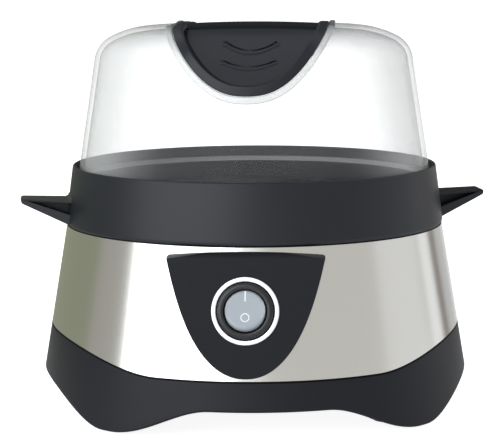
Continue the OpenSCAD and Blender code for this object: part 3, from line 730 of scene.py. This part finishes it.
class COOKER_OT_panel(CookerPiece, bpy.types.Operator):
    """Builds the shield-shaped control panel"""

    bl_idname = "cooker.panel"
    bl_label = "Control Panel"

    def build(self, scene):
        body, panel = scene.cooker_body, scene.cooker_panel
        bm = prism(panel_outline(panel), -0.008, panel.proud)
        reach = panel.half_width - 1e-5
        round_edges(bm, 0.0014, 40, 4, keep=lambda edge: all(abs(v.co.x) > reach for v in edge.verts))
        for degrees, back, drop in ((13, 0.0036, 0.0), (42, 0.0013, 0.0004)):
            lean = math.radians(degrees)
            cut_off(bm, (0, panel.up - back, panel.proud - drop), (0, math.sin(lean), math.cos(lean)))
        for hand in (-1, 1):
            aside, lean = math.radians(-8 * hand), math.radians(14)
            facet = Matrix.Rotation(aside, 3, "Z") @ Matrix.Rotation(lean, 3, "X")
            cut_off(bm, (hand * panel.half_width / 3, panel.up, panel.proud), facet @ Vector((0, 1, 0)))
        bmesh.ops.recalc_face_normals(bm, faces=bm.faces)
        front = panel.proud - 1e-6
        round_edges(bm, 0.0008, 30, keep=lambda edge: all(v.co.z > front for v in edge.verts))
        bmesh.ops.dissolve_degenerate(bm, edges=bm.edges, dist=LOOSE_WELD)
        low, high = -0.02, 0.01
        hole = spun([(0.0, low), (panel.hole, low), (panel.hole, high), (0.0, high)], SWITCH_STEPS)
        bm = moved(boolean(bm, hole, "DIFFERENCE"), panel_matrix(body, panel))
        finish_piece(bm, "panel", "base", "black_plastic", ["control_panel"], look="panel_black")


class COOKER_OT_switch(CookerPiece, bpy.types.Operator):
    """Builds the bright ring, the bezel and the rocker with its marks"""

    bl_idname = "cooker.switch"
    bl_label = "Switch"

    def build(self, scene):
        body, panel = scene.cooker_body, scene.cooker_panel
        face = panel_matrix(body, panel)
        self.ring(panel, face)
        self.bezel(panel, face)
        self.rocker(panel, face)

    def ring(self, panel, face):
        """Bright ring with narrow chamfers, sunk into the panel."""
        outer, inner = panel.ring, panel.ring - panel.ring_width
        chamfer = 0.0002
        foot, side, top = panel.proud - 0.0005, panel.proud + 0.0005, panel.proud + 0.0007
        section = [
            (inner, foot),
            (inner, side),
            (inner + chamfer, top),
            (outer - chamfer, top),
            (outer, side),
            (outer, foot),
            (inner, foot),
        ]
        ring = moved(spun(section, SWITCH_STEPS), face)
        finish_piece(ring, "trim_ring", "base", "bright_trim", ["switch_ring"], 60)

    def bezel(self, panel, face):
        """Bezel with the well for the rocker, and the switch's body behind it."""
        opening, shaft = panel.rocker + 0.0003, panel.hole - 0.0001
        floor, foot, back = -0.006, panel.proud - 0.0003, panel.proud - panel.depth
        side, top = panel.proud + 0.0016, panel.proud + 0.002
        section = [
            (0.0, floor),
            (opening, floor),
            (opening, side),
            (opening + 0.0004, top),
            (panel.bezel - 0.0011, top),
            (panel.bezel - 0.0005, side),
            (panel.bezel, foot),
            (shaft, foot),
            (shaft, back),
            (0.0, back),
        ]
        bezel = moved(spun(section, SWITCH_STEPS), face)
        finish_piece(bezel, "bezel", "base", "switch_black", ["switch_housing"], 50)

    def rocker(self, panel, face):
        """Rocker with a hollowed face and a ball-shaped side, and the marks on it."""
        sunk, level, hollow, rounding = 0.0007, 0.0034, 0.0007, 0.0003
        rim = math.sqrt(panel.rocker**2 - level**2)
        side = math.radians(60)
        pivot = face @ Matrix.Translation((0, 0, panel.proud - sunk)) @ Matrix.Rotation(-panel.tilt, 4, "X")

        def dish(y):
            return level - hollow * (1 - (y / rim) ** 2)

        def place(turned, share):
            angle = turned * FULL_TURN
            if share <= 0.5:
                radius = (rim - rounding) * share / 0.5
                y = radius * math.sin(angle)
                return Vector((radius * math.cos(angle), y, dish(y)))
            lean = math.asin(level / panel.rocker) - (share - 0.5) / 0.5 * side
            radius = panel.rocker * math.cos(lean)
            return Vector((radius * math.cos(angle), radius * math.sin(angle), panel.rocker * math.sin(lean)))

        rocker = sheet(SWITCH_STEPS, 24, place)
        bmesh.ops.holes_fill(rocker, edges=rocker.edges, sides=0)
        finish_piece(moved(rocker, pivot), "rocker_cap", "rocker", "rocker_grey", ["rocker"], 60)

        def lay(mark):
            middle = sum(vert.co.z for vert in mark.verts) / len(mark.verts)
            for vert in mark.verts:
                vert.co.z = dish(vert.co.y) + (0.00006 if vert.co.z > middle else -0.0001)

        half, low, high = 0.00028, 0.0034, 0.0074
        steps = [low + (high - low) * step / 8 for step in range(9)]
        bar = prism([(half, y) for y in steps] + [(-half, y) for y in reversed(steps)], 0.0, 1.0)
        lay(bar)
        inner, outer, middle = 0.0014, 0.0018, -0.0031
        loop = spun([(inner, 0.0), (inner, 1.0), (outer, 1.0), (outer, 0.0), (inner, 0.0)], SWITCH_STEPS // 2)
        bmesh.ops.translate(loop, verts=loop.verts, vec=(0, middle, 0))
        lay(loop)
        finish_piece(moved(join(bar, loop), pivot), "rocker_marks", "rocker", "mark_white")


class COOKER_OT_rack(CookerPiece, bpy.types.Operator):
    """Builds the rack's band with its two ears, and the seat plate"""

    bl_idname = "cooker.rack"
    bl_label = "Rack"

    def build(self, scene):
        body, rack = scene.cooker_body, scene.cooker_rack
        chamfer = 0.0019
        spigot, foot = rack.well + 0.0022, rack.bottom - 0.0032
        inner = rack.top_radius - rack.rim
        section = [
            (spigot, foot),
            (spigot, rack.bottom),
            (cone_radius(body, rack.bottom), rack.bottom),
            (rack.low_radius, rack.bottom + chamfer),
            (rack.top_radius, rack.top),
            (inner + 0.0003, rack.top),
            (inner, rack.ledge),
            (rack.well, rack.ledge),
            (rack.well, foot),
            (spigot, foot),
        ]
        bm = spun(section, 200)
        round_edges(bm, 0.0006, 25)
        for side in (0, math.pi):
            join(bm, self.ear(rack, side))
        bmesh.ops.rotate(bm, verts=bm.verts, cent=(0, 0, 0), matrix=Matrix.Rotation(rack.turn, 3, "Z"))
        finish_piece(bm, "rack", "rack", "black_plastic", ["rack_band"])
        seats = refined("seat_plate")
        finish_piece(seats, "seats", "rack", "black_plastic", ["seat_plate"], look="seat_black")

    def ear(self, rack, side):
        """Ear of a thin top plate, a slanted flange and a web between them."""
        tip, plate, root, sag, bend = 0.0012, 0.001, 0.0775, 0.0012, 0.004
        slant = math.tan(rack.slope)
        crown = rack.ear_top - 0.0006
        nose_x, nose_z = rack.reach - tip, crown - tip
        nose = []
        for step in range(9):
            angle = math.pi / 2 - step / 8 * (math.pi - rack.slope)
            nose.append((nose_x + tip * math.cos(angle), nose_z + tip * math.sin(angle)))

        def over(x, rise=0.0):
            """Point of the upper face, or above it."""
            return x, crown - sag * (nose_x - x) / (nose_x - root) + rise

        wall, fillet = rack.low_radius - 0.0016, 0.0016
        top_plate = [
            over(root, -plate),
            over(root, fillet),
            over(wall, fillet),
            (wall + 0.0004, over(wall, 0.0006)[1]),
            over(wall + 0.0015),
            *nose[:5],
            (nose_x - bend, over(nose_x, -plate)[1]),
        ]
        low = nose[-1][1] - (nose[-1][0] - root) * slant
        low_flange = [(root, low), (root, low + 0.005), nose[2], *nose[4:]]
        web = [(root, low + 0.001), over(root, -plate / 2), nose[1], nose[-2]]
        whole = bmesh.new()
        for outline, share in ((top_plate, 1.0), (low_flange, 1.0), (web, 0.3)):
            slab = moved(prism(outline, -0.5, 0.5), Matrix.Rotation(math.pi / 2, 4, "X"))
            for vert in slab.verts:
                along = (vert.co.x - root) / (rack.reach - root)
                width = rack.ear_root + (rack.ear_tip - rack.ear_root) * along
                corner = max(0.0, vert.co.x - (rack.reach - bend)) / bend
                width -= bend * (1 - math.sqrt(max(0.0, 1 - corner * corner)))
                vert.co.y *= width * share
            round_edges(slab, 0.0003, 50, 2)
            join(whole, slab)
        bmesh.ops.rotate(whole, verts=whole.verts, cent=(0, 0, 0), matrix=Matrix.Rotation(side, 3, "Z"))
        return whole


class COOKER_OT_lid(CookerPiece, bpy.types.Operator):
    """Builds the clear lid with its opening for the handle and the lip round it"""

    bl_idname = "cooker.lid"
    bl_label = "Clear Lid"

    def build(self, scene):
        lid = scene.cooker_lid
        form = LidForm(lid)
        tip = WALL_END * (lid.tip + lid.lap - lid.foot) / (lid.wall_top - lid.foot)
        end = form.share_at(math.pi / 2, lid.lap, 0.0)
        below = 0.25

        def half(side):
            def place(across, up):
                if up <= below:
                    share = tip * up / below
                else:
                    share = tip + (end - tip) * ((up - below) / (1 - below)) ** 2
                radius, height = form.section(share)
                start = math.asin(min(1.0, form.half_width(height, lid.lap) / radius))
                return around(radius, side * (start + (math.pi - 2 * start) * across), height)

            return sheet(72, 88, place)

        bm = join(half(1), half(-1))
        bmesh.ops.remove_doubles(bm, verts=bm.verts, dist=LOOSE_WELD)
        bmesh.ops.recalc_face_normals(bm, faces=bm.faces)
        thicken(bm, lid.wall)
        finish_piece(bm, "lid", "lid", "clear_plastic", ["lid_shell"])
        rise, width, sunk = lid.lip_rise, lid.lip_width, -0.0002
        section = [
            (-width, sunk),
            (-width + 0.0002, rise * 0.7),
            (-width + 0.0008, rise),
            (-0.0008, rise),
            (-0.0003, rise * 0.7),
            (-0.0002, sunk),
            (-width, sunk),
        ]

        def place(angle, inset, lift):
            """The lip is lower at the sides."""
            low = 1 - 0.65 * ease((abs(math.sin(angle)) - 0.75) / 0.2)
            return form.rim(angle, inset, lift * low if lift > 0 else lift)

        # The lip carries a painted highlight and painted grey edges.
        finish_piece(swept(section, 180, place), "lid_lip", "lid", "clear_plastic", look="clear_lip")


class HandleForm(LidForm):
    """Curves of the black handle: its scoops, the bar between them and the grip ribs."""

    FIT = 0.0002
    BAR_LAP = 0.0005
    BAR_CROWN = 0.0004
    BORDER_ROUND = 0.0006
    UNDERCUT = 0.06

    def __init__(self, lid):
        super().__init__(lid)
        self.start = Vector((-lid.bar - self.BAR_LAP, self.apex - lid.bar_drop))
        self.pull = Vector((self.start.x - 0.008, self.apex - 0.0095))
        self.end = Vector((-lid.wall_radius - 0.003, lid.tip + 0.003))
        self.last = self.share_of(lid.tip + lid.border - self.BORDER_ROUND)
        self.ribs = ((self.apex - 0.0113, 0.0195), (self.apex - 0.0170, 0.028))

    def scoop(self, share):
        """Depth and height of the scoop's middle line, from the bar at 0 to below the tip at 1."""
        return (1 - share) ** 2 * self.start + 2 * share * (1 - share) * self.pull + share**2 * self.end

    def share_of(self, height):
        """Share of that line at a height."""
        bend = self.start.y - 2 * self.pull.y + self.end.y
        fall = 2 * (self.pull.y - self.start.y)
        root = max(0.0, fall * fall - 4 * bend * (self.start.y - height))
        return min(max((-fall - math.sqrt(root)) / (2 * bend), 0.0), 1.0)

    def out_of(self, share):
        """Direction out of the scoop's face."""
        slope = (self.scoop(share + 0.01) - self.scoop(share - 0.01)).normalized()
        return Vector((slope.y, -slope.x))

    def spread(self, height):
        """Undercut of the scoop's sides behind the border, by the depth at a height."""
        radius = self.section(last_share(lambda share: self.section(share).y < height, 24)).x
        half = min(radius, self.half_width(height, self.lid.border))
        depth = self.scoop(self.share_of(height)).x + math.sqrt(radius * radius - half * half)
        return self.UNDERCUT * max(0.0, depth)

    def bar_height(self, x, y, aside):
        """Height of the bar, with a crown across it, before its edges are rounded."""
        return self.roof_height(x, y, self.lid.bar_rise + self.BAR_CROWN * (0.5 - aside * aside))

    def bar_edge(self, x):
        """Height at which a scoop meets the bar."""
        aside = max(-1.0, min(1.0, x / (self.lid.half_width - self.lid.border)))
        return self.bar_height(x, self.lid.bar + self.BAR_LAP, aside) - self.lid.bar_drop

    def relief(self, x, spot):
        """Height of the ribs, each with a groove along its upper side."""
        lid, height = self.lid, 0.0
        rib_soft, end_soft, groove_in, groove_out = 0.0005, 0.0012, 0.0004, 0.0003
        for level, radius in self.ribs:
            held = max(-lid.rib_half, min(lid.rib_half, x))
            middle = self.scoop(self.share_of(level + radius - math.sqrt(radius * radius - held * held)))
            down = math.copysign((spot - middle).length, middle.y - spot.y)
            away = math.hypot(x - held, down) - lid.rib_width / 2
            height += lid.rib_rise * ease(0.5 - away / rib_soft)
            if down < 0:
                ends = ease((lid.rib_half + lid.rib_width / 2 - abs(x)) / end_soft)
                groove = ease(away / groove_in) * ease((lid.rib_gap - away) / groove_out)
                height -= ends * lid.rib_groove * groove
        return height


class COOKER_OT_handle(CookerPiece, bpy.types.Operator):
    """Builds the black handle: border, finger scoops, bar and grip ribs"""

    bl_idname = "cooker.handle"
    bl_label = "Lid Handle"

    def build(self, scene):
        form = HandleForm(scene.cooker_lid)
        bm = join(self.border(form), self.saddle(form, -1), self.saddle(form, 1))
        finish_piece(bm, "handle", "lid", "black_plastic", ["lid_handle"], 50)
        # The bar takes a darker black, painted shade along its top and rounded edges.
        finish_piece(self.bar(form), "handle_bar", "lid", "black_plastic", sharp=50, look="bar_black")
        # The scoops' sides take a darker black: painted shade in the hollows behind the border.
        sides = join(self.cheek(form, -1), self.cheek(form, 1))
        finish_piece(sides, "handle_sides", "lid", "black_plastic", look="deep_black")

    def border(self, form):
        """Rounded border that lies on the lid, flatter at front and rear."""
        rise, width, round_off = form.lid.border_rise, form.lid.border, form.BORDER_ROUND
        nip, sunk = 0.0001, -0.0008
        section = [
            (0.0, nip),
            (nip, rise * 0.6),
            (round_off, rise),
            (width - round_off, rise),
            (width - nip, rise * 0.6),
            (width, form.FIT),
            (width, sunk),
            (0.0, sunk),
            (0.0, nip),
        ]

        def place(angle, inset, lift):
            low = 0.45 + 0.55 * ease((abs(math.sin(angle)) - 0.7) / 0.25)
            return form.rim(angle, inset, lift * low if lift > 0 else lift)

        return swept(section, ROUND_STEPS, place)

    def saddle(self, form, side):
        """Scoop with its ribs on the face, and a bulged back; its points lie closer at the middle."""
        tuck, back, blend = 0.0007, 0.0028, 0.15

        def place(across, along):
            share = min(2 * along, 2 - 2 * along)
            spot = form.scoop(form.last * share)
            half = form.half_width(spot.y, form.lid.border - tuck) + form.spread(spot.y)
            aside = 2 * across - 1
            x = aside * (0.5 + 0.5 * aside * aside) * half
            if along <= 0.5:
                spot = spot + form.out_of(form.last * share) * form.relief(x, spot)
            else:
                bulge = 16 * share * (1 - share) * across * (1 - across)
                spot = spot - form.out_of(form.last * share) * (back * bulge)
            join_up = (form.bar_edge(x) - form.start.y) * max(0.0, 1 - share / blend) ** 2
            return Vector((x, side * -spot.x, spot.y + join_up))

        return sheet(100, 400, place)

    def cheek(self, form, side):
        """Side of a scoop, from the border back to the scoop's face, with a thin wall."""
        lid, thin = form.lid, 0.0004
        corner = math.atan2(lid.half_width - lid.border, lid.bar)

        def place(across, deep):
            angle = (2 * across - 1) * corner
            edge = form.rim(angle, lid.border, form.FIT)
            y = form.scoop(form.share_of(edge.z)).x
            back = min(1.0, 2 * deep, 2 - 2 * deep)
            y = edge.y + (max(edge.y, y) - edge.y) * back
            wall = thin * math.sin(math.pi * back) if deep > 0.5 else 0.0
            aside = math.copysign(form.spread(edge.z) * back, edge.x)
            return Vector((edge.x * (1 + wall / lid.half_width) + aside, side * -y, edge.z - wall))

        return sheet(96, 12, place)

    def bar(self, form):
        """Crowned bar with rounded edges and a bulged underside."""
        lid, level, depth = form.lid, 0.65, 0.032

        def place(across, along):
            share = min(2 * along, 2 - 2 * along)
            aside, ahead = 2 * across - 1, 2 * share - 1
            x = aside * (lid.half_width - lid.border + form.FIT)
            y = ahead * (lid.bar + form.BAR_LAP)
            drop = lid.bar_drop * max(0.0, (abs(ahead) - level) / (1 - level)) ** 2
            if along > 0.5:
                drop += depth * share * (1 - share) * across * (1 - across)
            return Vector((x, y, form.bar_height(x, y, aside) - drop))

        return sheet(24, 96, place)


class COOKER_OT_hidden(CookerPiece, bpy.types.Operator):
    """Gives the CAD pieces that stay their materials"""

    bl_idname = "cooker.hidden"
    bl_label = "Other Pieces"

    def build(self, scene):
        slots = {part["node"]: part["material_slot"] for part in frame["record"]["subparts"]}
        for node, piece in frame["nodes"].items():
            piece.data.materials.clear()
            piece.data.materials.append(material(slots[node]))


class COOKER_OT_stage(CookerPiece, bpy.types.Operator):
    """Builds the floor, the world, the lamp, the cards round the part and the camera"""

    bl_idname = "cooker.stage"
    bl_label = "Stage"

    def build(self, scene):
        scene.view_settings.view_transform = "Standard"
        self.floor(scene)
        self.world(scene)
        self.lamp("Key", (-0.8, -0.9, 0.55), (1.7, 1.1), 13.0)
        far, behind, near = (1.3, 1.1), (6.0, 5.0), (0.24, 0.12)
        brown, green, grey = (0.2, 0.165, 0.135), (0.298, 0.318, 0.235), (0.41, 0.40, 0.37)
        bright, soft = (1.05, 1.06, 1.08), (0.6, 0.6, 0.6)
        for name, ring, first, last, rgb in (
            ("front_right", far, 6, 76, (0.66, 0.65, 0.62)),
            ("right", far, 76, 110, (0.84, 0.84, 0.84)),
            ("right_soft", far, 110, 120, (0.68, 0.68, 0.68)),
            ("right_bright", far, 120, 132, bright),
            ("right_brown", far, 132, 141, brown),
            ("rear_right", far, 141, 160, soft),
            ("rear", behind, 160, 190, (0.03, 0.032, 0.03)),
            ("rear_left", far, 190, 258, green),
            ("left", far, 258, 287, grey),
            ("low_bright", near, 101, 112.5, bright),
            ("low_brown", near, 112.5, 121.5, brown),
            ("low_rear", near, 121.5, 140, soft),
            ("low_green", near, 211, 274.5, green),
            ("low_grey", near, 274.5, 299.5, grey),
        ):
            self.card(name, *ring, first, last, rgb)
        self.ceiling((0.6, 0.62, 0.67))
        self.camera(scene)

    def camera_ray(self, start):
        """One for the camera's rays, else zero."""
        return start.node("ShaderNodeLightPath", output="Is Camera Ray")

    def seen(self, start):
        """One for the rays by which the camera, metal and glass see a surface, else zero."""
        glossy = start.node("ShaderNodeLightPath", output="Is Glossy Ray")
        passing = start.node("ShaderNodeLightPath", output="Is Transmission Ray")
        return start.math("MAXIMUM", self.camera_ray(start), start.math("MAXIMUM", glossy, passing))

    def floor(self, scene):
        """Wide pale floor, white to the camera but for the part's shadow."""
        bm = bmesh.new()
        bmesh.ops.create_grid(bm, x_segments=1, y_segments=1, size=12.0)
        made, start = new_material("floor")
        tone = scene.cooker_finish.floor
        cloud = noise(start, 2.0)
        shader = start.node(
            "ShaderNodeBsdfPrincipled",
            inputs={
                "Base Color": cloud.mix(shade(tone, 0.99), shade(tone, 1.01)),
                "Roughness": 0.9,
                "Specular IOR Level": 0.0,
                "Emission Color": self.seen(start).mix(BLACK, (0.25, 0.25, 0.25, 1)).lighter(
                    self.camera_ray(start).mix(BLACK, (0.65, 0.65, 0.65, 1))
                ),
                "Emission Strength": 1.0,
            },
        )
        set_surface(start, shader)
        self.put(bm, "floor", made)

    def card(self, name, radius, height, first, last, rgb):
        """Upright card round the part, between two directions from the front in degrees."""

        def place(across, up):
            return around(radius, math.radians(first + (last - first) * across), height * up)

        self.put(sheet(12, 1, place), name, self.card_paint(name, rgb))

    def ceiling(self, rgb):
        """Level card above the part."""
        bm = bmesh.new()
        bmesh.ops.create_grid(bm, x_segments=1, y_segments=1, size=0.9)
        bmesh.ops.translate(bm, verts=bm.verts, vec=(0, 0.2, 1.1))
        self.put(bm, "ceiling", self.card_paint("ceiling", rgb))

    def card_paint(self, name, rgb):
        """Even light that every ray sees but those of the camera and the shadows."""
        made, start = new_material(name)
        light = start.node("ShaderNodeEmission", inputs={"Color": (*rgb, 1.0), "Strength": 1.0})
        clear = start.node("ShaderNodeBsdfTransparent")
        shadow = start.node("ShaderNodeLightPath", output="Is Shadow Ray")
        passing = start.math("MAXIMUM", self.camera_ray(start), shadow)
        set_surface(start, start.node("ShaderNodeMixShader", inputs={0: passing, 1: light, 2: clear}))
        return made

    def put(self, bm, name, made):
        """Makes a mesh a piece of the stage."""
        mesh = bpy.data.meshes.new(name)
        bm.to_mesh(mesh)
        bm.free()
        mesh.materials.append(made)
        thing = bpy.data.objects.new(name, mesh)
        bpy.context.scene.collection.objects.link(thing)

    def world(self, scene):
        """Even light from all round, white where it is seen."""
        world = bpy.data.worlds.new("studio")
        world.use_nodes = True
        world.node_tree.nodes.clear()
        scene.world = world
        start = Sock(world.node_tree)
        tone = self.seen(start).mix((0.5, 0.5, 0.5, 1), (1, 1, 1, 1))
        light = start.node("ShaderNodeBackground", inputs={"Color": tone, "Strength": 1.0})
        start.node("ShaderNodeOutputWorld", inputs={"Surface": light})

    def lamp(self, name, place, size, power):
        """Soft lamp that is aimed at the part's middle."""
        data = bpy.data.lights.new(name, "AREA")
        data.shape = "RECTANGLE"
        data.size, data.size_y = size
        data.energy = power
        data.color = (0.93, 0.97, 1.0)
        lamp = bpy.data.objects.new(name, data)
        lamp.location = place
        aim = Vector((0, 0, 0.08)) - Vector(place)
        lamp.rotation_euler = aim.to_track_quat("-Z", "Y").to_euler()
        bpy.context.scene.collection.objects.link(lamp)

    def camera(self, scene):
        """Camera at the photograph's place and angle."""
        data = bpy.data.cameras.new("camera")
        data.sensor_width = 36.0
        data.lens = 145.94
        camera = bpy.data.objects.new("camera", data)
        distance, height = 0.87, 0.1942
        azimuth, yaw, pitch, roll = (math.radians(angle) for angle in (2.465, 0.169, 7.673, -0.26))
        aim = Matrix.Rotation(azimuth + yaw, 4, "Z") @ Matrix.Rotation(math.pi / 2 - pitch, 4, "X")
        camera.matrix_world = (
            Matrix.Translation(around(distance, azimuth, height)) @ aim @ Matrix.Rotation(roll, 4, "Z")
        )
        scene.collection.objects.link(camera)
        scene.camera = camera


class COOKER_PT_sidebar(bpy.types.Panel):
    """Lists the operators that build the cooker"""

    bl_idname = "COOKER_PT_sidebar"
    bl_label = "Countertop Cooker"
    bl_space_type = "VIEW_3D"
    bl_region_type = "UI"
    bl_category = "Cooker"

    def draw(self, context):
        for step in STEPS:
            self.layout.operator(step.bl_idname)


GROUPS = {
    "cooker_body": BodySizes,
    "cooker_panel": PanelSizes,
    "cooker_rack": RackSizes,
    "cooker_lid": LidSizes,
    "cooker_finish": Finish,
}
STEPS = (
    COOKER_OT_hidden,
    COOKER_OT_sleeve,
    COOKER_OT_base,
    COOKER_OT_panel,
    COOKER_OT_switch,
    COOKER_OT_rack,
    COOKER_OT_lid,
    COOKER_OT_handle,
    COOKER_OT_stage,
)


def register():
    for name, group in GROUPS.items():
        bpy.utils.register_class(group)
        setattr(bpy.types.Scene, name, PointerProperty(type=group))
    for step in (*STEPS, COOKER_PT_sidebar):
        bpy.utils.register_class(step)


def unregister():
    for step in (COOKER_PT_sidebar, *reversed(STEPS)):
        bpy.utils.unregister_class(step)
    for name, group in GROUPS.items():
        delattr(bpy.types.Scene, name)
        bpy.utils.unregister_class(group)


def main():
    register()
    for step in STEPS:
        module, name = step.bl_idname.split(".")
        getattr(getattr(bpy.ops, module), name)()


if __name__ == "__main__":
    main()
